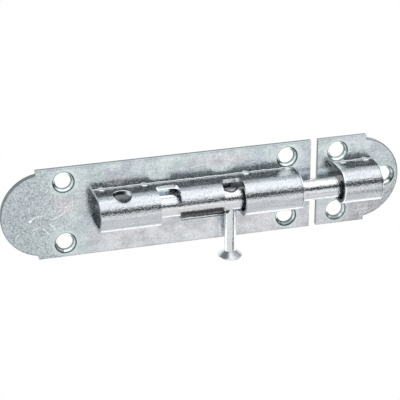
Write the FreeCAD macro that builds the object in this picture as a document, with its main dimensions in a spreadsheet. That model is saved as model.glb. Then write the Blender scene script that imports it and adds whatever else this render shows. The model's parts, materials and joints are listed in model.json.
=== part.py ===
"""Toggle bolt latch: a base plate and a keeper plate, each with a bent strap housing,
and a round bolt with a riveted knob that slides and turns between them.

All lengths are millimetres. X runs along the bolt, towards the keeper. The plates' backs
lie on the plane Y = 0 and their fronts face -Y. Z is up, and the knob hangs down. The
origin is the centre of the base plate's four screw holes, on the back.
"""
import FreeCAD
import Part
import Sketcher

import math
import os

SIZES = {
    # both plates
    "plate_width": 42.0,
    "plate_thickness": 2.2,
    "end_radius": 19.4,
    "end_inset": 3.2,            # from the shoulders in to the centre of the rounded end
    # base plate
    "base_shoulder_x": -63.1,
    "base_edge_x": 62.3,
    "screw_x": 51.05,
    "screw_z": 14.5,
    # keeper plate
    "plate_gap": 3.45,
    "keeper_straight": 23.05,
    "keeper_screw_inset": 9.4,
    "keeper_end_screw_inset": 32.6,
    # screw holes
    "screw_hole_diameter": 7.0,
    "countersink_diameter": 9.8,
    "countersink_angle": 90.0,
    # bent straps
    "strap_sheet": 1.8,
    "strap_radius": 8.3,
    "strap_centre_height": 7.3,  # from the plate's front up to the centre of the half circle
    "strap_axis_z": 0.9,         # the straps stand a little above the plates' middle line
    "barrel_start_x": -38.1,
    "barrel_end_x": 54.2,
    "loop_start_x": 73.6,
    "loop_end_x": 91.9,
    "tab_length": 3.0,
    "tab_height": 2.1,           # a little less than the plate, so the back stays flat
    "tab_clearance": 0.1,
    # openings in the barrel
    "window_left_x": -11.3,
    "window_right_x": 17.7,
    "window_width": 9.8,
    "window_corner": 2.2,
    "left_lip_height": 3.8,      # from the plate's front up to each opening's edge
    "right_lip_height": 4.6,
    "rail_height": 2.9,          # the rail's face slants down from its bent out lip
    "rail_inner_height": 1.1,    # to the strap's inner face
    "rail_reach": 9.9,           # how far the lip reaches from the strap's middle
    "rail_underside": 0.86,      # height under the lip, where it is as thick as the sheet
    "bridge_edge_z": 3.7,        # from the strap's middle
    "rail_start_x": 0.8,
    "rail_end_x": 25.0,
    "lock_hole_x": -27.0,
    "lock_hole_height": 8.4,
    "lock_hole_diameter": 8.6,
    # bolt
    "bolt_radius": 5.0,
    "bolt_axis_height": 5.7,     # from the plate's front
    "bolt_tail_x": -12.6,
    "bolt_split_x": 78.9,
    "bolt_nose_x": 88.9,
    "split_gap": 0.05,
    "tail_chamfer": 0.6,
    "nose_chamfer": 1.2,
    # knob
    "knob_x": 22.7,
    "knob_radius": 2.6,
    "knob_tail": 4.35,           # from the bolt's axis up to the riveted end
    "rivet_radius": 3.5,         # where the countersink meets the top of the bolt
    "rivet_depth": 1.3,
    "knob_neck": 25.0,           # from the bolt's axis down to the flare
    "knob_rim": 27.3,            # and to the widest disc
    "head_radius": 5.65,
    "rim_thickness": 0.5,
    "dome_height": 0.7,
}

BARREL_TABS_X = {"barrel_tab_1": -34.5, "barrel_tab_2": -15.2, "barrel_tab_3": 31.4, "barrel_tab_4": 51.0}
LOOP_TABS_X = {"loop_tab_1": 77.6, "loop_tab_2": 88.6}

CELLS = {**SIZES, **BARREL_TABS_X, **LOOP_TABS_X}

BIG = 60.0                       # reaches past every piece when something is cut away
SAME = 1e-4                      # two lengths closer than this are the same length
NOTHING_CUT = 1e-3               # a cut that takes away less volume than this has missed

doc = FreeCAD.newDocument("toggle_bolt_latch")
sheet = doc.addObject("Spreadsheet::Sheet", "Sizes")
for row, (alias, value) in enumerate(CELLS.items(), start=1):
    sheet.set("A%d" % row, alias)
    sheet.set("B%d" % row, str(value))
    sheet.setAlias("B%d" % row, alias)
doc.recompute()


def bound(text):
    """Turn 'a + b' over the sheet's aliases into an expression the document reads."""
    return " ".join("Sizes." + word if word in CELLS else word for word in text.split())


def number(text):
    """Work out the same expression as a number, for where a sketch's point starts."""
    return float(sheet.evalExpression(bound(text)))


def new_body(label):
    body = doc.addObject("PartDesign::Body", label)
    body.Label = label
    return body


def new_sketch(body, name, role, lift="0"):
    """A sketch on one of the body's own origin planes, lifted along the plane's normal."""
    sketch = body.newObject("Sketcher::SketchObject", name)
    plane = next(f for f in body.Origin.OriginFeatures if f.Role == role)
    sketch.AttachmentSupport = [(plane, "")]
    sketch.MapMode = "FlatFace"
    sketch.setExpression("AttachmentOffset.Base.z", bound(lift))
    return sketch


def pin_point(sketch, geo, end, across=None, up=None):
    """Hold a point at distances from the sketch's origin that follow the sheet."""
    for kind, text in (("DistanceX", across), ("DistanceY", up)):
        if text is not None:
            index = sketch.addConstraint(Sketcher.Constraint(kind, -1, 1, geo, end, number(text)))
            sketch.setExpression("Constraints[%d]" % index, bound(text))


def set_radius(sketch, geo, text):
    index = sketch.addConstraint(Sketcher.Constraint("Radius", geo, number(text)))
    sketch.setExpression("Constraints[%d]" % index, bound(text))


def add_polygon(sketch, corners):
    """A closed outline of straight lines through corners given as pairs of expressions."""
    points = [FreeCAD.Vector(number(across), number(up), 0) for across, up in corners]
    first = sketch.GeometryCount
    count = len(points)
    for i in range(count):
        sketch.addGeometry(Part.LineSegment(points[i], points[(i + 1) % count]), False)
    for i, (across, up) in enumerate(corners):
        line_before = first + (i - 1) % count
        sketch.addConstraint(Sketcher.Constraint("Coincident", line_before, 2, first + i, 1))
        pin_point(sketch, first + i, 1, across, up)


def add_rectangle(sketch, left, right, low, high):
    add_polygon(sketch, [(left, low), (right, low), (right, high), (left, high)])


def add_circle(sketch, across, up, radius):
    centre = FreeCAD.Vector(number(across), number(up), 0)
    geo = sketch.addGeometry(Part.Circle(centre, FreeCAD.Vector(0, 0, 1), number(radius)), False)
    pin_point(sketch, geo, 3, across, up)
    set_radius(sketch, geo, radius)


def pad(body, sketch, name, length, reverse=False):
    feature = body.newObject("PartDesign::Pad", name)
    feature.Profile = sketch
    feature.Reversed = reverse
    feature.setExpression("Length", bound(length))
    return feature


def check_cut(body, name, before):
    doc.recompute()
    if not body.Shape.Volume < before - NOTHING_CUT:
        raise RuntimeError(name + " cut nothing")


def pocket(body, sketch, name, reverse=False, length=None):
    """Cut a sketch's outline to a length, or right through, and make sure that it cut."""
    doc.recompute()
    before = body.Shape.Volume
    feature = body.newObject("PartDesign::Pocket", name)
    feature.Profile = sketch
    feature.Reversed = reverse
    if length is None:
        feature.Type = "ThroughAll"
    else:
        feature.setExpression("Length", bound(length))
    check_cut(body, name, before)
    return feature


def edges_where(feature, test):
    return ["Edge%d" % (i + 1) for i, edge in enumerate(feature.Shape.Edges) if test(edge)]


def dress(body, kind, name, base, edges, size_name, size):
    """A fillet or chamfer on some edges of the body's last feature."""
    feature = body.newObject("PartDesign::" + kind, name)
    feature.Base = (base, edges)
    feature.setExpression(size_name, bound(size))
    doc.recompute()
    return feature


def at(value, text):
    return math.isclose(value, number(text), abs_tol=SAME)


# ---------------------------------------------------------------- plates

def plate_outline(sketch, edge, shoulder, centre, side):
    """A straight plate whose far end narrows at two shoulders to a rounded end.

    side is -1 where the rounded end points to -X and +1 where it points to +X.
    """
    half = "plate_width / 2"
    edge_x, shoulder_x, centre_x = number(edge), number(shoulder), number(centre)
    half_z, radius = number(half), number("end_radius")
    arc_z = math.sqrt(radius ** 2 - (shoulder_x - centre_x) ** 2)
    chain = [(shoulder_x, arc_z), (shoulder_x, half_z), (edge_x, half_z),
             (edge_x, -half_z), (shoulder_x, -half_z), (shoulder_x, -arc_z)]
    for start, end in zip(chain, chain[1:]):
        sketch.addGeometry(Part.LineSegment(FreeCAD.Vector(*start, 0), FreeCAD.Vector(*end, 0)), False)
    turn = math.atan2(arc_z, abs(shoulder_x - centre_x))
    middle = 0.0 if side > 0 else math.pi
    circle = Part.Circle(FreeCAD.Vector(centre_x, 0, 0), FreeCAD.Vector(0, 0, 1), radius)
    arc = sketch.addGeometry(Part.ArcOfCircle(circle, middle - turn, middle + turn), False)
    for geo in range(4):
        sketch.addConstraint(Sketcher.Constraint("Coincident", geo, 2, geo + 1, 1))
    low_end, high_end = (1, 2) if side > 0 else (2, 1)
    sketch.addConstraint(Sketcher.Constraint("Coincident", 4, 2, arc, low_end))
    sketch.addConstraint(Sketcher.Constraint("Coincident", 0, 1, arc, high_end))
    pin_point(sketch, arc, 3, centre, "0")
    set_radius(sketch, arc, "end_radius")
    pin_point(sketch, 0, 1, across=shoulder)
    pin_point(sketch, 0, 2, shoulder, half)
    pin_point(sketch, 1, 2, edge, half)
    pin_point(sketch, 2, 2, edge, "- " + half)
    pin_point(sketch, 3, 2, shoulder, "- " + half)
    pin_point(sketch, 4, 2, across=shoulder)


def make_plate(label, edge, shoulder, centre, side, screws, tabs):
    body = new_body(label)
    outline = new_sketch(body, label + "_outline", "XZ_Plane")
    plate_outline(outline, edge, shoulder, centre, side)
    pad(body, outline, label + "_sheet", "plate_thickness")

    slots = new_sketch(body, label + "_slot_sketch", "XZ_Plane", "plate_thickness")
    for tab in tabs:
        for sign in ("+", "-"):
            reach = "( tab_length / 2 + tab_clearance )"
            near = "strap_axis_z %s ( strap_radius - strap_sheet - tab_clearance )" % sign
            far = "strap_axis_z %s ( strap_radius + tab_clearance )" % sign
            add_rectangle(slots, tab + " - " + reach, tab + " + " + reach, near, far)
    pocket(body, slots, label + "_slots")

    places = new_sketch(body, label + "_screw_sketch", "XZ_Plane", "plate_thickness")
    for across, up in screws:
        add_circle(places, across, up, "screw_hole_diameter / 2")
    doc.recompute()
    holes = body.newObject("PartDesign::Hole", label + "_screw_holes")
    holes.Profile = places
    holes.DepthType = "ThroughAll"
    holes.DrillPoint = "Flat"
    holes.HoleCutType = "Countersink"
    holes.HoleCutCustomValues = True
    holes.setExpression("Diameter", bound("screw_hole_diameter"))
    holes.setExpression("HoleCutDiameter", bound("countersink_diameter"))
    holes.setExpression("HoleCutCountersinkAngle", bound("countersink_angle"))
    doc.recompute()
    return body


# ---------------------------------------------------------------- bent straps

def strap_outline(sketch):
    """The strap's section: two walls that stand on the plate, joined by a half circle.

    The sketch's first direction is Y, so the section reaches out to -Y.
    """
    height = number("strap_centre_height")
    ends = []
    for name in ("strap_radius", "strap_radius - strap_sheet"):
        radius = number(name)
        foot_up = sketch.addGeometry(Part.LineSegment(
            FreeCAD.Vector(0, radius, 0), FreeCAD.Vector(-height, radius, 0)), False)
        circle = Part.Circle(FreeCAD.Vector(-height, 0, 0), FreeCAD.Vector(0, 0, 1), radius)
        crown = sketch.addGeometry(Part.ArcOfCircle(circle, math.pi / 2, 3 * math.pi / 2), False)
        foot_down = sketch.addGeometry(Part.LineSegment(
            FreeCAD.Vector(-height, -radius, 0), FreeCAD.Vector(0, -radius, 0)), False)
        sketch.addConstraint(Sketcher.Constraint("Horizontal", foot_up))
        sketch.addConstraint(Sketcher.Constraint("Horizontal", foot_down))
        sketch.addConstraint(Sketcher.Constraint("Coincident", foot_up, 2, crown, 1))
        sketch.addConstraint(Sketcher.Constraint("Coincident", crown, 2, foot_down, 1))
        pin_point(sketch, crown, 3, "- strap_centre_height", "0")
        set_radius(sketch, crown, name)
        pin_point(sketch, foot_up, 1, across="0")
        pin_point(sketch, foot_up, 2, across="- strap_centre_height")
        pin_point(sketch, foot_down, 1, across="- strap_centre_height")
        pin_point(sketch, foot_down, 2, across="0")
        ends.append((foot_up, foot_down))
    (outer_up, outer_down), (inner_up, inner_down) = ends
    for start, start_end, stop, stop_end in ((outer_up, 1, inner_up, 1), (outer_down, 2, inner_down, 2)):
        geo = sketch.addGeometry(Part.LineSegment(
            sketch.getPoint(start, start_end), sketch.getPoint(stop, stop_end)), False)
        sketch.addConstraint(Sketcher.Constraint("Coincident", geo, 1, start, start_end))
        sketch.addConstraint(Sketcher.Constraint("Coincident", geo, 2, stop, stop_end))


def make_strap(label, start, end, tabs):
    """A strap bent to the section above, with tabs on its feet for the plate's slots."""
    body = new_body(label)
    section = new_sketch(body, label + "_section", "YZ_Plane", start)
    strap_outline(section)
    pad(body, section, label + "_bend", end + " - ( " + start + " )")
    feet = new_sketch(body, label + "_tab_sketch", "XZ_Plane")
    for tab in tabs:
        for sign in ("", "- "):
            add_rectangle(feet, tab + " - tab_length / 2", tab + " + tab_length / 2",
                          sign + "( strap_radius - strap_sheet )", sign + "strap_radius")
    pad(body, feet, label + "_tabs", "tab_height", reverse=True)
    body.setExpression("Placement.Base.y", bound("- plate_thickness"))
    body.setExpression("Placement.Base.z", bound("strap_axis_z"))
    doc.recompute()
    return body


def is_flat_at(edge, x):
    """Whether an edge lies in the plane across the bolt at x."""
    return edge.BoundBox.XLength < SAME and at(edge.BoundBox.XMin, x)


def is_window_corner(edge, sides, height):
    """Whether an edge runs through the sheet where a side of a window meets its lip."""
    through_sheet = edge.BoundBox.YLength < SAME and at(edge.BoundBox.YMax, "- " + height)
    return through_sheet and any(is_flat_at(edge, side) for side in sides)


def cut_slot(body, start, end):
    """The slot between the windows, from the rail's slanting face up to the bridge's edge.

    The sketch's first direction is Y, so the slot opens towards -Y.
    """
    slot = new_sketch(body, "slot_sketch", "YZ_Plane", start)
    far = "- %s" % BIG
    add_polygon(slot, [("- rail_height", "- rail_reach"),
                       ("- rail_inner_height", "- ( strap_radius - strap_sheet )"),
                       ("- rail_inner_height", "bridge_edge_z"), (far, "bridge_edge_z"),
                       (far, far), ("- rail_height", far)])
    pocket(body, slot, "slot", reverse=True, length=end + " - ( " + start + " )")


def cut_barrel_openings(body):
    """Two windows joined by a slot, so that the knob slides below and turns up at each end."""
    left_end, right_end = "window_left_x + window_width", "window_right_x + window_width"
    cut_slot(body, "window_left_x", right_end)
    for name, start, end in (("left", "window_left_x", left_end), ("right", "window_right_x", right_end)):
        lip = name + "_lip_height"
        window = new_sketch(body, name + "_window_sketch", "XZ_Plane", lip)
        add_rectangle(window, start, end, "0", str(BIG))
        cut = pocket(body, window, name + "_window", reverse=True)
        corners = edges_where(cut, lambda edge: is_window_corner(edge, (start, end), lip))
        dress(body, "Fillet", name + "_window_corners", cut, corners, "Radius", "window_corner")
    end_of_rail = edges_where(body.Tip, lambda edge: is_flat_at(edge, right_end)
                              and at(edge.BoundBox.ZMin, "- strap_radius")
                              and at(edge.BoundBox.YMax, "- rail_inner_height"))
    dress(body, "Fillet", "slot_corner", body.Tip, end_of_rail, "Radius", "window_corner")

    below = new_sketch(body, "barrel_gap_sketch", "XZ_Plane")
    add_rectangle(below, "window_left_x", "rail_start_x", str(-BIG), "0")
    pocket(body, below, "barrel_gap", reverse=True)

    lip = new_sketch(body, "rail_lip_sketch", "YZ_Plane", "rail_start_x")
    add_polygon(lip, [("- rail_height", "- rail_reach"),
                      ("- rail_inner_height", "- ( strap_radius - strap_sheet )"),
                      ("0", "- ( strap_radius - strap_sheet )"), ("0", "- strap_radius"),
                      ("- rail_underside", "- rail_reach")])
    pad(body, lip, "rail_lip", "rail_end_x - rail_start_x")

    lock = new_sketch(body, "lock_hole_sketch", "XY_Plane")
    add_circle(lock, "lock_hole_x", "- lock_hole_height", "lock_hole_diameter / 2")
    pocket(body, lock, "lock_hole", reverse=True)


# ---------------------------------------------------------------- bolt and knob

def make_rod(label, start, end, chamfer, chamfer_at):
    """One stretch of the round bolt, with its free end broken by a chamfer."""
    body = new_body(label)
    circle = new_sketch(body, label + "_circle", "YZ_Plane", start)
    add_circle(circle, "0", "0", "bolt_radius")
    rod = pad(body, circle, label + "_rod", end + " - ( " + start + " )")
    doc.recompute()
    rim = edges_where(rod, lambda edge: is_flat_at(edge, chamfer_at))
    dress(body, "Chamfer", label + "_chamfer", rod, rim, "Size", chamfer)
    body.setExpression("Placement.Base.y", bound("- plate_thickness - bolt_axis_height"))
    return body


def cut_cross_hole(body):
    """The knob's hole right through the bolt, countersunk on top where the pin is riveted over."""
    profile = new_sketch(body, "cross_hole_sketch", "XZ_Plane")
    near, far, wide = "knob_x", "knob_x + knob_radius", "knob_x + rivet_radius"
    add_polygon(profile, [(near, "- bolt_radius * 2"), (far, "- bolt_radius * 2"),
                          (far, "bolt_radius - rivet_depth"), (wide, "bolt_radius"),
                          (wide, "bolt_radius * 2"), (near, "bolt_radius * 2")])
    doc.recompute()
    before = body.Shape.Volume
    hole = body.newObject("PartDesign::Groove", "cross_hole")
    hole.Profile = profile
    hole.ReferenceAxis = (profile, ["Edge6"])
    hole.Angle = 360.0
    check_cut(body, "cross_hole", before)


def make_knob():
    """A round pin with a flared, slightly domed head, turned about its own axis.

    Half way in from the rim, the dome has three quarters of its height, as a parabola has.
    """
    body = new_body("knob")
    profile = new_sketch(body, "knob_profile", "XZ_Plane")
    add_polygon(profile, [("0", "knob_tail"), ("rivet_radius - bolt_radius + knob_tail", "knob_tail"),
                          ("knob_radius", "bolt_radius - rivet_depth"), ("knob_radius", "- knob_neck"),
                          ("head_radius", "- knob_rim"), ("head_radius", "- knob_rim - rim_thickness"),
                          ("head_radius / 2", "- knob_rim - rim_thickness - dome_height * 0.75"),
                          ("0", "- knob_rim - rim_thickness - dome_height")])
    turn = body.newObject("PartDesign::Revolution", "knob_turn")
    turn.Profile = profile
    turn.ReferenceAxis = (profile, ["V_Axis"])
    turn.Angle = 360.0
    body.setExpression("Placement.Base.x", bound("knob_x"))
    body.setExpression("Placement.Base.y", bound("- plate_thickness - bolt_axis_height"))
    doc.recompute()
    return body


base_screws = [(sign_x + "screw_x", sign_z + "screw_z") for sign_x in ("", "- ") for sign_z in ("", "- ")]
base_plate = make_plate(
    "base_plate", "base_edge_x", "base_shoulder_x", "base_shoulder_x + end_inset", -1,
    base_screws, BARREL_TABS_X)

keeper_edge = "base_edge_x + plate_gap"
keeper_shoulder = keeper_edge + " + keeper_straight"
keeper_screw_x = keeper_edge + " + keeper_screw_inset"
keeper_screws = [(keeper_screw_x, "screw_z"), (keeper_screw_x, "- screw_z"),
                 (keeper_edge + " + keeper_end_screw_inset", "0")]
keeper_plate = make_plate(
    "keeper_plate", keeper_edge, keeper_shoulder, keeper_shoulder + " - end_inset", 1,
    keeper_screws, LOOP_TABS_X)

barrel = make_strap("barrel", "barrel_start_x", "barrel_end_x", BARREL_TABS_X)
cut_barrel_openings(barrel)
keeper_loop = make_strap("keeper_loop", "loop_start_x", "loop_end_x", LOOP_TABS_X)

bolt_rod = make_rod("bolt_rod", "bolt_tail_x", "bolt_split_x", "tail_chamfer", "bolt_tail_x")
cut_cross_hole(bolt_rod)
bolt_nose = make_rod("bolt_nose", "bolt_split_x + split_gap", "bolt_nose_x", "nose_chamfer", "bolt_nose_x")
knob = make_knob()
doc.recompute()

for item in doc.Objects:
    if "Invalid" in item.State or "Error" in item.State:
        raise RuntimeError("%s did not compute: %s" % (item.Name, item.State))

os.makedirs("parts", exist_ok=True)
for piece in (base_plate, barrel, keeper_plate, keeper_loop, bolt_rod, bolt_nose, knob):
    if piece.Shape.isNull() or not piece.Shape.isValid():
        raise RuntimeError(piece.Label + " has no valid shape")
    piece.Shape.exportStep("parts/%s.step" % piece.Label)
    print("%-14s %9.1f mm3" % (piece.Label, piece.Shape.Volume))
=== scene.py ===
import bpy
import json
import math
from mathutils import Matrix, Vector


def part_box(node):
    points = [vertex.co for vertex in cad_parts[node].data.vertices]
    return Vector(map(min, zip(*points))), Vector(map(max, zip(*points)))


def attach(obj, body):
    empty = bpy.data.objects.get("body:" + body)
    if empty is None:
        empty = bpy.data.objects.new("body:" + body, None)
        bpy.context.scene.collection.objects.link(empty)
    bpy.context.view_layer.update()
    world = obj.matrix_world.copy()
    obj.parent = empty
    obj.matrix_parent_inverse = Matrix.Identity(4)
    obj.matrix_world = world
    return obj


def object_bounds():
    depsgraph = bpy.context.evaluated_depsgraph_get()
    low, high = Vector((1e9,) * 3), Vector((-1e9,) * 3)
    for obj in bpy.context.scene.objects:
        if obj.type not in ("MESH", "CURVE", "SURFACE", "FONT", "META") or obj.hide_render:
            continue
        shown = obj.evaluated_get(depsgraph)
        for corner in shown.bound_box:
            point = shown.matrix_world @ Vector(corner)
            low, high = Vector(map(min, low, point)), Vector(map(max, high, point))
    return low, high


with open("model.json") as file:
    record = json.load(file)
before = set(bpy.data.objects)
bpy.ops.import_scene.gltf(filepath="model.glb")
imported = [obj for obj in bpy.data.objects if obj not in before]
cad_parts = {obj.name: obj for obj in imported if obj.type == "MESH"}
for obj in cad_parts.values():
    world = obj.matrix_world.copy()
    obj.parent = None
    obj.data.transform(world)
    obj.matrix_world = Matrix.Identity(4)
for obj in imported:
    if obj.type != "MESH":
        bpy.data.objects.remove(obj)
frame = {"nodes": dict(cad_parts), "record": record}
cad_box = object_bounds()

MM = 0.001
nodes = frame["nodes"]

PLATE_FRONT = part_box("base_plate")[0].y
HALF_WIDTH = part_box("base_plate")[1].z
STRAP_LOW, STRAP_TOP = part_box("keeper_loop")[0].z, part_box("keeper_loop")[1].z
STRAP_RADIUS = (STRAP_TOP - STRAP_LOW) / 2
STRAP_MIDDLE_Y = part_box("keeper_loop")[0].y + STRAP_RADIUS     # the line that the straps' bend is round
STRAP_MIDDLE_Z = STRAP_TOP - STRAP_RADIUS

# ---------------------------------------------------------------- camera

CAMERA_PLACE = Vector((-172.8, -627.7, 289.1)) * MM
CAMERA_AZIMUTH = math.radians(16.32)      # turned from +Y towards +X
CAMERA_ELEVATION = math.radians(24.03)    # looking down
LENS = 144.2


def make_camera():
    """The camera, level from side to side and turned by an azimuth and an elevation."""
    data = bpy.data.cameras.new("camera")
    data.lens = LENS
    data.sensor_width = 36.0
    data.clip_start = 0.01
    camera = bpy.data.objects.new("camera", data)
    bpy.context.scene.collection.objects.link(camera)
    camera.location = CAMERA_PLACE
    camera.rotation_euler = (math.pi / 2 - CAMERA_ELEVATION, 0.0, -CAMERA_AZIMUTH)
    bpy.context.scene.camera = camera


# ---------------------------------------------------------------- small helpers for node trees

class Tree:
    """A few short calls that make a material's node tree readable."""

    def __init__(self, name):
        self.material = bpy.data.materials.new(name)
        self.material.use_nodes = True
        self.tree = self.material.node_tree
        self.shader = self.tree.nodes["Principled BSDF"]

    def node(self, kind, **values):
        made = self.tree.nodes.new("ShaderNode" + kind)
        for key, value in values.items():
            setattr(made, key, value)
        return made

    def link(self, source, target):
        self.tree.links.new(source, target)

    def feed(self, socket, value):
        """Link a socket, or set it when the value is a plain number or colour."""
        if isinstance(value, bpy.types.NodeSocket):
            self.link(value, socket)
        else:
            socket.default_value = value

    def math(self, operation, a, b=0.0):
        made = self.node("Math", operation=operation)
        self.feed(made.inputs[0], a)
        self.feed(made.inputs[1], b)
        return made.outputs[0]

    def product(self, a, b):
        return self.math("MULTIPLY", a, b)

    def place(self, stretch=(1.0, 1.0, 1.0), shift=(0.0, 0.0, 0.0)):
        """The piece's own coordinates in metres, stretched along its axes."""
        source = self.node("TexCoord").outputs["Object"]
        mapping = self.node("Mapping")
        mapping.inputs["Scale"].default_value = stretch
        mapping.inputs["Location"].default_value = shift
        self.link(source, mapping.inputs["Vector"])
        return mapping.outputs[0]

    def axis(self, name):
        """One of the piece's own coordinates, in metres."""
        parts = self.node("SeparateXYZ")
        self.link(self.place(), parts.inputs[0])
        return parts.outputs[name]

    def facing(self, name):
        """How squarely the surface faces along X, Y or Z, from -1 to 1."""
        geometry = self.node("NewGeometry")
        parts = self.node("SeparateXYZ")
        self.link(geometry.outputs["Normal"], parts.inputs[0])
        return parts.outputs[name]

    def noise(self, where, scale, detail=4.0, rough=0.5):
        made = self.node("TexNoise")
        self.link(where, made.inputs["Vector"])
        made.inputs["Scale"].default_value = scale
        made.inputs["Detail"].default_value = detail
        made.inputs["Roughness"].default_value = rough
        return made.outputs["Fac"]

    def span(self, value, low, high, to_low=0.0, to_high=1.0):
        """A value that goes from to_low to to_high as the given one goes from low to high."""
        made = self.node("MapRange", clamp=True)
        for name, number in (("From Min", low), ("From Max", high), ("To Min", to_low), ("To Max", to_high)):
            made.inputs[name].default_value = number
        self.feed(made.inputs["Value"], value)
        return made.outputs[0]

    def mix(self, factor, a, b):
        made = self.node("Mix", data_type="RGBA")
        self.feed(made.inputs["Factor"], factor)
        self.feed(made.inputs["A"], a)
        self.feed(made.inputs["B"], b)
        return made.outputs["Result"]

    def bump(self, height, distance, under=None):
        made = self.node("Bump")
        made.inputs["Strength"].default_value = 1.0
        made.inputs["Distance"].default_value = distance
        self.feed(made.inputs["Height"], height)
        if under is not None:
            self.link(under, made.inputs["Normal"])
        return made.outputs[0]


# ---------------------------------------------------------------- zinc materials

BLUE_ZINC = (0.54, 0.59, 0.64, 1.0)
GREEN_ZINC = (0.545, 0.62, 0.63, 1.0)
PINK_ZINC = (0.61, 0.585, 0.63, 1.0)
LIGHT_ZINC = (0.73, 0.71, 0.745, 1.0)
PALE_ZINC = (0.80, 0.84, 0.85, 1.0)
DARK_ZINC = (0.15, 0.18, 0.195, 1.0)
# painted shade on the screw holes' walls
HOLE_SHADE_ZINC = (0.16, 0.18, 0.19, 1.0)
HOLE_TINT = (0.66, 0.76, 0.74, 1.0)
EDGE_SHADE_ZINC = (0.06, 0.075, 0.08, 1.0)      # painted shade on the plates' cut edges and outlines
LOCK_WALL_SHADE_ZINC = (0.05, 0.06, 0.065, 1.0)      # painted shade on the lock hole's wall
SHADE_LINE_ZINC = (0.03, 0.04, 0.045, 1.0)      # painted shade for thin dark outlines
END_SHADE_ZINC = (0.03, 0.035, 0.04, 1.0)     # painted shade inside the keeper loop's left end
RIM_HIGHLIGHT_ZINC = (0.95, 0.96, 0.96, 1.0)        # painted highlight on the rim beside it
SCRATCH = (0.95, 0.97, 0.97, 1.0)
PITCH = 1.0 / MM                  # a noise scale of one feature per millimetre

SCREW_HOLE = 3.5 * MM
COUNTERSINK = 4.9 * MM            # radius of each countersink's edge
EDGE_LINE = 0.35 * MM             # the painted dark line of shade along it
EDGE_TINT = 2.0 * MM              # the pale green tint that fades out around it

# Places on the plates' fronts, all as x and z in millimetres.
PINK_PATCHES = (                  # centre, then half width and half height
    ((-51.0, 3.0), (11.0, 6.5)),
    ((-10.0, -13.5), (32.0, 6.0)),
    ((32.0, -14.0), (16.0, 6.0)),
    ((-26.0, 11.5), (10.0, 3.0)),
    ((20.0, 16.5), (14.0, 4.0)),
    ((90.0, -14.0), (7.0, 4.0)),
)
SCRATCHES = (                     # start, end and width
    ((-66.2, -1.6), (-62.0, 0.0), 0.34),
    ((-62.0, -0.6), (-58.9, 0.9), 0.26),
    ((-58.4, -3.0), (-53.6, -1.4), 0.24),
    ((-54.0, -1.7), (-50.2, 0.9), 0.20),
    ((-66.7, -2.9), (-65.9, -1.6), 0.90),
    ((-66.8, 4.6), (-66.5, 1.8), 0.22),
    ((-65.9, -6.8), (-61.6, -5.2), 0.26),
    ((-57.9, -4.2), (-55.3, -7.4), 0.24),
    ((-50.8, 2.6), (-48.4, 2.9), 0.40),
    ((-47.6, 7.0), (-47.4, 2.2), 0.20),
    ((-55.9, -5.1), (-54.8, -8.0), 0.22),
    ((-61.1, -6.1), (-57.9, -9.7), 0.20),
    ((-66.0, -9.0), (-63.3, -6.8), 0.18),
    ((-57.7, -12.1), (-59.6, -13.6), 0.24),
    ((-56.7, -7.4), (-52.0, -7.0), 0.18),
    ((-73.3, -10.0), (-71.6, -8.0), 0.22),
    ((6.0, 14.5), (14.0, 16.0), 0.12),
    ((-6.0, -14.2), (3.0, -13.2), 0.12),
)


def screw_places():
    """Every screw hole's centre on the plates, worked out from the record's mounts."""
    places = []
    for mount in frame["record"]["mounts"]:
        x, _, z = mount["pos_m"]
        dims = mount["dims"]
        if mount["kind"] == "bolt_pattern":
            across = dims.get("spacing_x_mm", 0.0) / 2 * MM
            up = dims["spacing_y_mm"] / 2 * MM
            for sign_x in ((-1, 1) if across else (1,)):
                places += [(x + sign_x * across, z - up), (x + sign_x * across, z + up)]
        elif mount["kind"] == "bore":
            places.append((x, z))
    return places


def flat_distance(t, point):
    """Distance on the plate from a point given as x and z."""
    flat = t.place(stretch=(1.0, 0.0, 1.0))
    made = t.node("VectorMath", operation="DISTANCE")
    t.link(flat, made.inputs[0])
    made.inputs[1].default_value = (point[0], 0.0, point[1])
    return made.outputs["Value"]


def patch_mask(t, centre, half_size):
    """1 in the middle of a soft oval patch on the plates, down to 0 at its edge."""
    turned = t.node("Mapping", vector_type="TEXTURE")
    turned.inputs["Location"].default_value = (centre[0] * MM, 0.0, centre[1] * MM)
    turned.inputs["Scale"].default_value = (half_size[0] * MM, 1.0, half_size[1] * MM)
    t.link(t.place(stretch=(1.0, 0.0, 1.0)), turned.inputs["Vector"])
    made = t.node("VectorMath", operation="LENGTH")
    t.link(turned.outputs[0], made.inputs[0])
    return t.span(made.outputs["Value"], 0.25, 1.35, 1.0, 0.0)


def scratch_mask(t, start, end, width):
    """1 along a fine straight scratch on the plate's front, fading out at its sides."""
    run = Vector((end[0] - start[0], 0.0, end[1] - start[1])) * MM
    middle = Vector((start[0] + end[0], 0.0, start[1] + end[1])) / 2 * MM
    turned = t.node("Mapping", vector_type="TEXTURE")
    turned.inputs["Location"].default_value = middle
    turned.inputs["Rotation"].default_value = (0.0, -math.atan2(run.z, run.x), 0.0)
    t.link(t.place(), turned.inputs["Vector"])
    parts = t.node("SeparateXYZ")
    t.link(turned.outputs[0], parts.inputs[0])
    along = t.math("ABSOLUTE", parts.outputs["X"])
    across = t.math("ABSOLUTE", parts.outputs["Z"])
    on_line = t.span(across, width * 0.4 * MM, width * MM, 1.0, 0.0)
    within = t.span(along, run.length * 0.35, run.length * 0.5, 1.0, 0.0)
    return t.product(on_line, within)


def highest(t, masks):
    """The largest of several masks at each point."""
    result = masks[0]
    for mask in masks[1:]:
        result = t.math("MAXIMUM", result, mask)
    return result


END_RADIUS = 19.4 * MM
SHOULDERS = 3.1 * MM              # from each rounded end's centre out to the plate's shoulders


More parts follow.
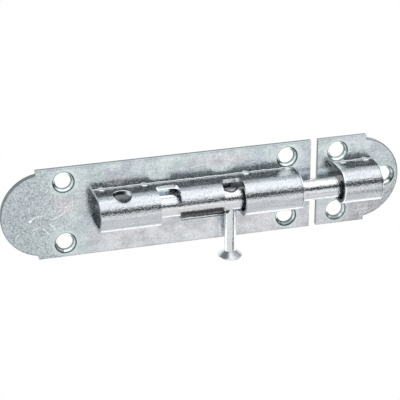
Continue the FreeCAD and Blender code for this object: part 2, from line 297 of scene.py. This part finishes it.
def rounded_edge(t):
    """1 along the rim of the two rounded ends, where a dark outline is painted as shade."""
    rims = []
    for name, corner, side in (("base_plate", 0, -1), ("keeper_plate", 1, 1)):
        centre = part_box(name)[corner].x - side * END_RADIUS
        inset = t.math("ABSOLUTE", t.math("SUBTRACT", flat_distance(t, (centre, 0.0)), END_RADIUS))
        rim = t.span(inset, 0.30 * MM, 0.55 * MM, 1.0, 0.0)
        beyond = t.span(t.product(t.axis("X"), float(side)),
                        side * centre + SHOULDERS, side * centre + SHOULDERS + 0.2 * MM)
        rims.append(t.product(rim, beyond))
    return highest(t, rims)


def tinted_plating(t):
    """Soft blue, green and pink patches, and a lighter stretch along the lower edge."""
    green = t.span(t.noise(t.place(shift=(0.3, 0.1, 0.2)), PITCH / 16, 2.0), 0.42, 0.58)
    colour = t.mix(green, BLUE_ZINC, GREEN_ZINC)
    drift = t.noise(t.place(), PITCH / 7, 3.0, 0.6)
    pink = highest(t, [patch_mask(t, *patch) for patch in PINK_PATCHES])
    pink = t.product(pink, t.span(drift, 0.36, 0.58, 0.25, 1.0))
    colour = t.mix(pink, colour, PINK_ZINC)
    low = t.product(t.span(t.axis("Z"), -14 * MM, -6 * MM, 0.85, 0.0),
                    t.span(t.axis("X"), -48 * MM, -30 * MM))
    return t.mix(t.product(low, t.span(drift, 0.30, 0.60, 0.5, 1.0)), colour, LIGHT_ZINC)


def spangled(t, colour):
    """Smears and clouds, and a fine speckle. The left end has more of the speckle and less of the rest."""
    smears = t.noise(t.place((0.35, 1.0, 1.0)), PITCH / 3, 4.0, 0.65)
    colour = t.mix(t.span(smears, 0.36, 0.56, 0.18, 0.0), colour, DARK_ZINC)
    clouds = t.noise(t.place(shift=(0.11, 0.0, 0.04)), PITCH / 5.5, 3.0, 0.55)
    cloudy = t.span(t.axis("X"), -62 * MM, -46 * MM, 0.25, 1.0)
    colour = t.mix(t.product(t.span(clouds, 0.36, 0.52, 0.22, 0.0), cloudy), colour, DARK_ZINC)
    colour = t.mix(t.product(t.span(clouds, 0.50, 0.66, 0.0, 0.35), cloudy), colour, PALE_ZINC)
    speckled = t.span(t.axis("X"), -60 * MM, -42 * MM, 1.0, 0.40)
    light = t.span(t.noise(t.place(), PITCH / 0.75, 2.0, 0.8), 0.50, 0.62)
    colour = t.mix(t.product(light, speckled), colour, PALE_ZINC)
    grime = t.noise(t.place(shift=(0.05, 0.02, 0.07)), PITCH / 0.8, 2.0, 0.8)
    dull = t.span(grime, 0.50, 0.60, 0.0, 0.58)
    return t.mix(t.product(dull, speckled), colour, DARK_ZINC)


def with_countersinks(t, colour, nearest):
    """A pale tint round each screw hole, a painted dark line of shade on its countersink's edge and painted
    shade on its wall.
    """
    tint = t.span(nearest, COUNTERSINK, COUNTERSINK + EDGE_TINT, 0.75, 0.0)
    colour = t.mix(tint, colour, HOLE_TINT)
    off_edge = t.math("ABSOLUTE", t.math("SUBTRACT", nearest, COUNTERSINK - EDGE_LINE / 2))
    colour = t.mix(t.span(off_edge, EDGE_LINE * 0.6, EDGE_LINE, 0.9, 0.0), colour, SHADE_LINE_ZINC)
    return t.mix(t.span(nearest, SCREW_HOLE * 1.02, SCREW_HOLE * 1.12, 1.0, 0.0), colour, HOLE_SHADE_ZINC)


def with_edges(t, colour, nearest):
    """Painted shade on the cut edges, of which only the rear half is dark where they face up, and painted
    dark outlines on the fronts.

    The rounded ends have a painted dark line of shade along their rim. The long edges have a faint one just
    inside.
    """
    off_holes = t.span(nearest, COUNTERSINK + EDGE_LINE, COUNTERSINK + 2 * EDGE_LINE)
    flatness = t.math("ABSOLUTE", t.facing("Y"))
    around_plate = t.product(t.span(flatness, 0.80, 0.97, 0.85, 0.0), off_holes)
    around_plate = t.product(around_plate, t.span(t.facing("Z"), 0.25, 0.60, 1.0, 0.0))
    colour = t.mix(around_plate, colour, EDGE_SHADE_ZINC)
    rear_half = t.product(t.span(t.axis("Y"), -1.25 * MM, -1.10 * MM), off_holes)
    rear_half = t.product(t.span(flatness, 0.90, 0.97, 0.85, 0.0), rear_half)
    colour = t.mix(rear_half, colour, EDGE_SHADE_ZINC)
    rim = t.product(rounded_edge(t), t.span(t.axis("Z"), -4 * MM, 4 * MM, 0.45, 0.85))
    colour = t.mix(rim, colour, EDGE_SHADE_ZINC)
    inset = t.math("SUBTRACT", HALF_WIDTH, t.math("ABSOLUTE", t.axis("Z")))
    return t.mix(t.span(inset, 0.40 * MM, 0.80 * MM, 0.22, 0.0), colour, DARK_ZINC)


def zinc_plate():
    """Rolled sheet with blue-passivated zinc: soft tint patches, fine spangle and scratches, and painted
    shade on the holes and edges.
    """
    t = Tree("zinc_plate")
    colour = spangled(t, tinted_plating(t))
    nearest = 1.0
    for point in screw_places():
        nearest = t.math("MINIMUM", flat_distance(t, point), nearest)
    colour = with_countersinks(t, colour, nearest)
    colour = with_edges(t, colour, nearest)
    colour = t.mix(t.span(t.axis("X"), -66 * MM, -50 * MM, 0.21, 0.0), colour, DARK_ZINC)   # left end
    colour = t.mix(t.span(t.axis("X"), 62 * MM, 66 * MM, 0.0, 0.12), colour, PALE_ZINC)     # keeper
    scratches = highest(t, [scratch_mask(t, *scratch) for scratch in SCRATCHES])
    broken = t.span(t.noise(t.place(), PITCH / 0.9, 2.0), 0.34, 0.50)
    colour = t.mix(t.product(scratches, broken), colour, SCRATCH)

    t.link(colour, t.shader.inputs["Base Color"])
    t.shader.inputs["Metallic"].default_value = 1.0
    satin = t.span(t.noise(t.place(), PITCH / 1.1, 3.0), 0.35, 0.65, 0.13, 0.27)
    t.link(satin, t.shader.inputs["Roughness"])
    t.link(t.bump(t.noise(t.place(), PITCH / 1.4, 3.0, 0.6), 0.06 * MM), t.shader.inputs["Normal"])
    return t.material


LOCK_HOLE = (-27.0 * MM, -10.6 * MM)      # its upright axis, as x and y
LOCK_RADIUS = 4.3 * MM
RIVET = (22.7 * MM, -6.9 * MM)            # the same for the painted shade ring round the knob's riveted end
RIVET_RADIUS = 3.3 * MM
KNOB_HEAD = -25.0 * MM                    # the knob's flared head is below this


def cylinder_distance(t, axis):
    """Distance from an upright line given as x and y."""
    made = t.node("VectorMath", operation="DISTANCE")
    t.link(t.place(stretch=(1.0, 1.0, 0.0)), made.inputs[0])
    made.inputs[1].default_value = (axis[0], axis[1], 0.0)
    return made.outputs["Value"]


def with_lock_hole(t, colour):
    """Painted shade on the lock hole's wall, with a painted highlight where it faces left."""
    reach = cylinder_distance(t, LOCK_HOLE)
    inside = t.span(reach, LOCK_RADIUS + 0.04 * MM, LOCK_RADIUS + 0.10 * MM, 1.0, 0.0)
    wall = t.mix(t.span(t.facing("X"), -0.85, -0.30, 1.0, 0.0), LOCK_WALL_SHADE_ZINC, PALE_ZINC)
    above = t.span(t.axis("Z"), 0.0, 1 * MM)
    return t.mix(t.product(inside, above), colour, wall)


def with_end_shade_and_rim_highlight(t, colour):
    """The keeper loop's left end: painted shade on the inner part of its end face, and a painted highlight at
    its rim.
    """
    forward = t.math("MINIMUM", t.math("SUBTRACT", t.axis("Y"), STRAP_MIDDLE_Y), 0.0)
    up = t.math("SUBTRACT", t.axis("Z"), STRAP_MIDDLE_Z)
    reach = t.math("SQRT", t.math("ADD", t.product(forward, forward), t.product(up, up)))
    from_end = t.math("ABSOLUTE", t.math("SUBTRACT", t.axis("X"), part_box("keeper_loop")[0].x))
    # painted shade on the inner part of the end face
    rough = t.product(t.span(reach, STRAP_RADIUS - 0.75 * MM, STRAP_RADIUS - 0.55 * MM, 0.95, 0.0),
                      t.span(from_end, 0.5 * MM, 0.7 * MM, 1.0, 0.0))
    rough = t.product(rough, t.span(t.facing("X"), -0.90, -0.60, 1.0, 0.0))
    colour = t.mix(rough, colour, END_SHADE_ZINC)
    # painted highlight along the end face's outer rim
    rim = t.product(t.span(reach, STRAP_RADIUS - 0.55 * MM, STRAP_RADIUS - 0.40 * MM, 0.0, 0.9),
                    t.span(from_end, 0.35 * MM, 0.55 * MM, 1.0, 0.0))
    return t.mix(rim, colour, RIM_HIGHLIGHT_ZINC)


def with_end_shade_and_highlight_lines(t, colour):
    """A painted dark line of shade and a painted highlight line round the straps' right ends."""
    from_end = 1.0
    for strap_name in ("barrel", "keeper_loop"):
        gap = t.math("SUBTRACT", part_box(strap_name)[1].x, t.axis("X"))
        from_end = t.math("MINIMUM", t.math("ABSOLUTE", gap), from_end)
    colour = t.mix(t.span(from_end, 0.70 * MM, 1.10 * MM, 0.60, 0.0), colour, DARK_ZINC)
    return t.mix(t.span(from_end, 0.25 * MM, 0.50 * MM, 0.8, 0.0), colour, PALE_ZINC)


def with_rivet_shade_ring(t, colour):
    """A painted dark ring of shade round the knob's riveted end, on the bolt's upper side only."""
    off_ring = t.math("ABSOLUTE", t.math("SUBTRACT", cylinder_distance(t, RIVET), RIVET_RADIUS))
    ring = t.span(off_ring, 0.35 * MM, 0.60 * MM, 0.9, 0.0)
    return t.mix(t.product(ring, t.span(t.axis("Z"), 2.0 * MM, 2.5 * MM)), colour, SHADE_LINE_ZINC)


def zinc_bright(name, stretch, base, pale, rough=(0.12, 0.20), pits=0.12, speckled=0.30, matt_spots=0.0,
                strapped=False, riveted=False):
    """Bright plating over drawn or bent metal: lengthways streaks and a fine speckle. Straps also get painted
    shade and highlights at the lock hole and their ends, and riveted pieces a painted shade ring round the
    rivet.
    """
    t = Tree(name)
    streaks = t.noise(t.place(stretch), PITCH / 1.6, 3.0, 0.6)
    colour = t.mix(t.span(streaks, 0.38, 0.62), base, pale)
    speckle = t.noise(t.place(), PITCH / 0.8, 2.0, 0.8)
    colour = t.mix(t.span(speckle, 0.54, 0.66, 0.0, speckled), colour, DARK_ZINC)
    colour = t.mix(t.span(speckle, 0.34, 0.46, speckled, 0.0), colour, PALE_ZINC)
    if strapped:
        colour = with_end_shade_and_highlight_lines(t, with_end_shade_and_rim_highlight(t, with_lock_hole(t, colour)))
    if riveted:
        colour = with_rivet_shade_ring(t, colour)
    t.link(colour, t.shader.inputs["Base Color"])
    t.shader.inputs["Metallic"].default_value = 1.0
    matt = t.span(t.noise(t.place(shift=(0.4, 0.2, 0.1)), PITCH / 0.9, 2.0, 0.7), 0.50, 0.60, 0.0, matt_spots)
    satin = t.math("ADD", t.span(streaks, 0.3, 0.7, *rough), matt)
    if riveted:
        head = t.span(t.axis("Z"), KNOB_HEAD - 0.2 * MM, KNOB_HEAD + 0.2 * MM, 0.22, 0.0)
        satin = t.math("ADD", satin, head)
    t.link(satin, t.shader.inputs["Roughness"])
    pitted = t.bump(t.noise(t.place(), PITCH / 0.8, 2.0, 0.6), pits * MM)
    t.link(t.bump(streaks, 0.03 * MM, under=pitted), t.shader.inputs["Normal"])
    return t.material


def dress(name, material, bevel):
    """Give a CAD node its material, and round its sharp edges a little."""
    thing = nodes[name]
    thing.data.materials.clear()
    thing.data.materials.append(material)
    flatten = thing.modifiers.new("flatten", "DECIMATE")
    flatten.decimate_type = "DISSOLVE"
    flatten.angle_limit = math.radians(0.5)
    if bevel:
        rounding = thing.modifiers.new("rounding", "BEVEL")
        rounding.width = bevel
        rounding.segments = 3
        rounding.limit_method = "ANGLE"
        rounding.angle_limit = math.radians(35)
        rounding.harden_normals = True


# ---------------------------------------------------------------- pressed details on the straps' feet

BEAD = (0.45, 0.34)                         # the rolled foot's spread and height, in millimetres
RAGGED = 0.07                               # how much its edge wanders
BUMP_SIZE = Vector((1.5, 1.1, 0.55)) * MM   # half length, half height and swell of a staked bump
BARREL_GAP = (-11.3 * MM, 25.0 * MM)        # no foot shows here: cut away, or under the rail's lip
BUMPS_X = {"barrel": (-34.5, -15.2, 31.4, 51.0), "keeper_loop": (77.6, 88.6)}
RAIL = (0.8 * MM, 24.9 * MM)                # the barrel's rail, with its bent out lip
RAIL_LIP = (-4.72 * MM, -8.28 * MM)         # the lip's face just inside its outer edge, as y and z


def add_piece(name, vertices, faces, material):
    """A smooth mesh piece that stays with the plates and straps."""
    mesh = bpy.data.meshes.new(name)
    mesh.from_pydata(vertices, [], faces)
    mesh.materials.append(material)
    mesh.shade_smooth()
    mesh.update()
    piece = bpy.data.objects.new(name, mesh)
    bpy.context.scene.collection.objects.link(piece)
    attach(piece, "latch")


def wall_z(side):
    return STRAP_TOP if side > 0 else STRAP_LOW


def make_foot(name, start, end, side, material):
    """The rolled burr along a strap's foot, a low rounded bead where the wall meets the plate."""
    steps = 9
    stations = max(2, round((end - start) / (0.5 * MM)))
    spread, height = BEAD
    vertices = []
    for i in range(stations + 1):
        x = start + (end - start) * i / stations
        wander = RAGGED * (math.sin(x / (1.9 * MM)) + math.sin(x / (0.7 * MM) + side))
        for k in range(steps):
            turn = math.pi / 2 * k / (steps - 1)
            vertices.append((x, PLATE_FRONT - height * math.sin(turn) * MM,
                             wall_z(side) + side * (spread + wander) * math.cos(turn) * MM))
        vertices.append((x, PLATE_FRONT, wall_z(side) - side * 0.3 * MM))
    count = steps + 1
    faces = []
    for i in range(stations):
        for k in range(count):
            here, there = i * count, (i + 1) * count
            face = (here + k, here + (k + 1) % count, there + (k + 1) % count, there + k)
            faces.append(face if side < 0 else face[::-1])
    first_cap = tuple(range(count))
    last_cap = tuple(stations * count + k for k in range(count))
    faces += [first_cap, last_cap[::-1]] if side > 0 else [first_cap[::-1], last_cap]
    add_piece(name, vertices, faces, material)


def make_bump(name, x, side, material):
    """A small staked swelling on a strap's wall, over one of the tabs that hold it to the plate."""
    rings, spokes = 6, 16
    vertices = [(x, PLATE_FRONT - BUMP_SIZE.y, wall_z(side) + side * BUMP_SIZE.z)]
    for ring in range(1, rings + 1):
        rise = math.cos(math.pi / 2 * ring / rings)
        reach = math.sin(math.pi / 2 * ring / rings)
        for spoke in range(spokes):
            turn = math.tau * spoke / spokes
            vertices.append((x + BUMP_SIZE.x * reach * math.cos(turn),
                             PLATE_FRONT - BUMP_SIZE.y * (1 + 0.9 * reach * math.sin(turn)),
                             wall_z(side) + side * BUMP_SIZE.z * (rise * 1.1 - 0.1)))
    faces = []
    for spoke in range(spokes):
        after = (spoke + 1) % spokes
        faces.append((0, 1 + spoke, 1 + after))
        for ring in range(rings - 1):
            inner, outer = 1 + ring * spokes, 1 + (ring + 1) * spokes
            faces.append((inner + spoke, outer + spoke, outer + after, inner + after))
    faces.append(tuple(1 + (rings - 1) * spokes + spoke for spoke in reversed(range(spokes))))
    if side > 0:
        faces = [face[::-1] for face in faces]
    add_piece(name, vertices, faces, material)


def make_ring(name, centre, radius, tube, material):
    """The raised burr round the lock hole, following the strap's curve."""
    spokes, sides = 48, 8
    path = []
    for i in range(spokes):
        turn = math.tau * i / spokes
        x, y = centre[0] + radius * math.cos(turn), centre[1] + radius * math.sin(turn)
        forward = min(0.0, y - STRAP_MIDDLE_Y)
        rise = math.sqrt(STRAP_RADIUS ** 2 - forward ** 2)
        path.append((Vector((x, y, STRAP_MIDDLE_Z + rise)), Vector((0.0, forward, rise)) / STRAP_RADIUS,
                     Vector((math.cos(turn), math.sin(turn), 0.0))))
    vertices = []
    for point, outward, sideways in path:
        for k in range(sides):
            turn = math.tau * k / sides
            vertices.append(point + tube * (math.cos(turn) * outward + math.sin(turn) * sideways))
    faces = [(i * sides + k, i * sides + (k + 1) % sides,
              (i + 1) % spokes * sides + (k + 1) % sides, (i + 1) % spokes * sides + k)
             for i in range(spokes) for k in range(sides)]
    add_piece(name, vertices, faces, material)


def make_lip_burr(material):
    """The thin bright burr that shearing left along the rail lip's outer edge."""
    spokes, radius = 16, 0.50 * MM
    vertices = []
    for x in RAIL:
        for k in range(spokes):
            turn = math.tau * k / spokes
            vertices.append((x, RAIL_LIP[0] + radius * math.cos(turn), RAIL_LIP[1] + radius * math.sin(turn)))
    faces = [(k, (k + 1) % spokes, spokes + (k + 1) % spokes, spokes + k) for k in range(spokes)]
    faces += [tuple(reversed(range(spokes))), tuple(range(spokes, 2 * spokes))]
    add_piece("rail_lip_burr", vertices, faces, material)


def make_feet(material):
    """Every foot and bump of both straps, above and below."""
    for strap, runs in (("barrel", (None, BARREL_GAP)), ("keeper_loop", (None, None))):
        start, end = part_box(strap)[0].x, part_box(strap)[1].x
        for side, gap, word in ((1, runs[0], "upper"), (-1, runs[1], "lower")):
            stretches = [(start, end)] if gap is None else [(start, gap[0]), (gap[1], end)]
            for number, (left, right) in enumerate(stretches, start=1):
                make_foot("%s_%s_foot_%d" % (strap, word, number), left, right, side, material)
            for number, x in enumerate(BUMPS_X[strap], start=1):
                make_bump("%s_%s_bump_%d" % (strap, word, number), x * MM, side, material)


# ---------------------------------------------------------------- studio

def card_material(name, strength, colour=(0.0, 0.0, 0.0, 1.0)):
    """A card that gives off plain white light of its own."""
    t = Tree(name)
    t.shader.inputs["Base Color"].default_value = colour
    t.shader.inputs["Roughness"].default_value = 1.0
    t.shader.inputs["Specular IOR Level"].default_value = 0.0
    t.shader.inputs["Emission Color"].default_value = (1.0, 1.0, 1.0, 1.0)
    t.shader.inputs["Emission Strength"].default_value = strength
    return t.material


def make_card(name, centre, size, facing, material, seen=False):
    """A flat rectangle turned to face a point: the floor, or a card that shapes the reflections."""
    half_x, half_y = size[0] / 2, size[1] / 2
    mesh = bpy.data.meshes.new(name)
    corners = [(-half_x, -half_y, 0), (half_x, -half_y, 0), (half_x, half_y, 0), (-half_x, half_y, 0)]
    mesh.from_pydata(corners, [], [(0, 1, 2, 3)])
    mesh.materials.append(material)
    card = bpy.data.objects.new(name, mesh)
    bpy.context.scene.collection.objects.link(card)
    card.location = centre
    card.rotation_euler = (Vector(facing) - Vector(centre)).to_track_quat("Z", "Y").to_euler()
    card.visible_camera = seen
    return card


def lay_card(name, x_range, y_range, lift, material, turn=0.0):
    """A card lying on the floor, seen only in reflections."""
    centre = Vector((sum(x_range) / 2, sum(y_range) / 2, FLOOR + lift))
    size = (x_range[1] - x_range[0], y_range[1] - y_range[0])
    card = make_card(name, centre, size, centre + Vector((0, 0, 1)), material)
    card.rotation_euler = (0.0, 0.0, math.radians(turn))
    return card


def add_softbox(name, centre, size, facing, watts):
    data = bpy.data.lights.new(name, "AREA")
    data.shape = "RECTANGLE"
    data.size, data.size_y = size
    data.energy = watts
    light = bpy.data.objects.new(name, data)
    bpy.context.scene.collection.objects.link(light)
    light.location = centre
    light.rotation_euler = (Vector(facing) - Vector(centre)).to_track_quat("-Z", "Y").to_euler()


def around(elevation, distance):
    """A place in front of, over or behind the latch, by elevation from straight in front."""
    angle = math.radians(elevation)
    return (0.1, -distance * math.cos(angle), distance * math.sin(angle))


FLOOR = cad_box[0][2] - 0.12      # the latch is held this far over the floor


def make_world():
    world = bpy.data.worlds.new("studio")
    world.use_nodes = True
    background = world.node_tree.nodes["Background"]
    background.inputs["Color"].default_value = (0.97, 0.99, 1.0, 1.0)
    background.inputs["Strength"].default_value = 1.20
    bpy.context.scene.world = world
    bpy.context.scene.view_settings.view_transform = "Standard"


def make_far_cards():
    """The floor, the softbox, and the large cards that the plates, straps and bolt mirror."""
    white = card_material("white_floor", 1.0)
    glow = card_material("glow_card", 1.3)
    strong_glow = card_material("strong_glow_card", 2.0)
    grey = card_material("grey_card", 0.5)
    make_card("floor", (0, 0, FLOOR), (8.0, 8.0), (0, 0, FLOOR + 1), white, seen=True)
    latch = (0, -0.01, 0)
    make_card("front_card", around(23.0, 0.9), (3.0, 0.45), latch, DARK_CARD)
    lay_card("front_glow", (-1.5, 1.5), (-1.4, -0.42), 0.002, glow)
    lay_card("under_glow", (-0.5, 0.7), (0.02, 0.16), 0.002, strong_glow)
    lay_card("side_strip", (0.160, 0.330), (-0.270, -0.165), 0.004, DARK_CARD, turn=-41.0)
    lay_card("right_card", (0.180, 0.600), (0.170, 0.500), 0.002, DARK_CARD)
    make_card("back_card", around(118.0, 1.25), (3.0, 0.20), latch, grey)
    add_softbox("top_softbox", around(75.5, 1.2), (3.0, 1.27), latch, 5.4)


def make_near_cards():
    """Small cards close to the latch: a dark card in front of the slot that stands in for the slot's shade in
    the rod's reflection, and glowing cards in the windows, the barrel and the loop.
    """
    dim_glow = card_material("dim_glow_card", 0.4)
    window_glow = card_material("window_glow_card", 2.6)
    back, down, up = (0, 1.0, 0), (0, 0, -1.0), (0, 0, 1.0)
    for name, centre, size, towards, material in (
            # a dark card that stands in for the shade in the slot, seen in the rod's underside
            ("slot_shade_card", (9.7, -12.1, -6.6), (20.2, 8.2), up, DARK_CARD),
            ("left_window_glow", (-6.6, -5.0, 7.1), (8.0, 4.6), down, window_glow),
            ("right_window_glow", (27.5, -5.0, 7.1), (17.0, 4.6), down, dim_glow),
            ("barrel_glow", (-26.0, -14.5, 1.0), (14.0, 7.0), back, dim_glow),
            ("loop_glow", (81.0, -7.5, 6.9), (15.0, 8.0), down, dim_glow)):
        place = Vector(centre) * MM
        make_card(name, place, Vector(size) * MM, place + Vector(towards), material)


DARK_CARD = card_material("dark_card", 0.08, (0.005, 0.005, 0.005, 1.0))

make_camera()
make_world()
make_far_cards()
make_near_cards()

plate = zinc_plate()
strap = zinc_bright("zinc_strap", (0.10, 1.0, 1.0), (0.48, 0.505, 0.53, 1.0), (0.58, 0.60, 0.63, 1.0),
                    matt_spots=0.16, strapped=True)
bolt = zinc_bright("zinc_bolt", (0.05, 1.0, 1.0), (0.56, 0.58, 0.60, 1.0), (0.70, 0.70, 0.72, 1.0),
                   speckled=0.25, riveted=True)
pin = zinc_bright("zinc_knob", (1.0, 1.0, 0.08), (0.66, 0.69, 0.69, 1.0), (0.78, 0.80, 0.81, 1.0),
                  rough=(0.07, 0.12), pits=0.05, speckled=0.20, riveted=True)
for name in ("base_plate", "keeper_plate"):
    dress(name, plate, 0.5 * MM)
for name in ("barrel", "keeper_loop"):
    dress(name, strap, 0.4 * MM)
for name in ("bolt_rod", "bolt_nose"):
    dress(name, bolt, 0.0)
dress("knob", pin, 0.2 * MM)
make_feet(pin)
make_lip_burr(pin)
make_ring("lock_hole_burr", LOCK_HOLE, LOCK_RADIUS + 0.15 * MM, 0.26 * MM, pin)
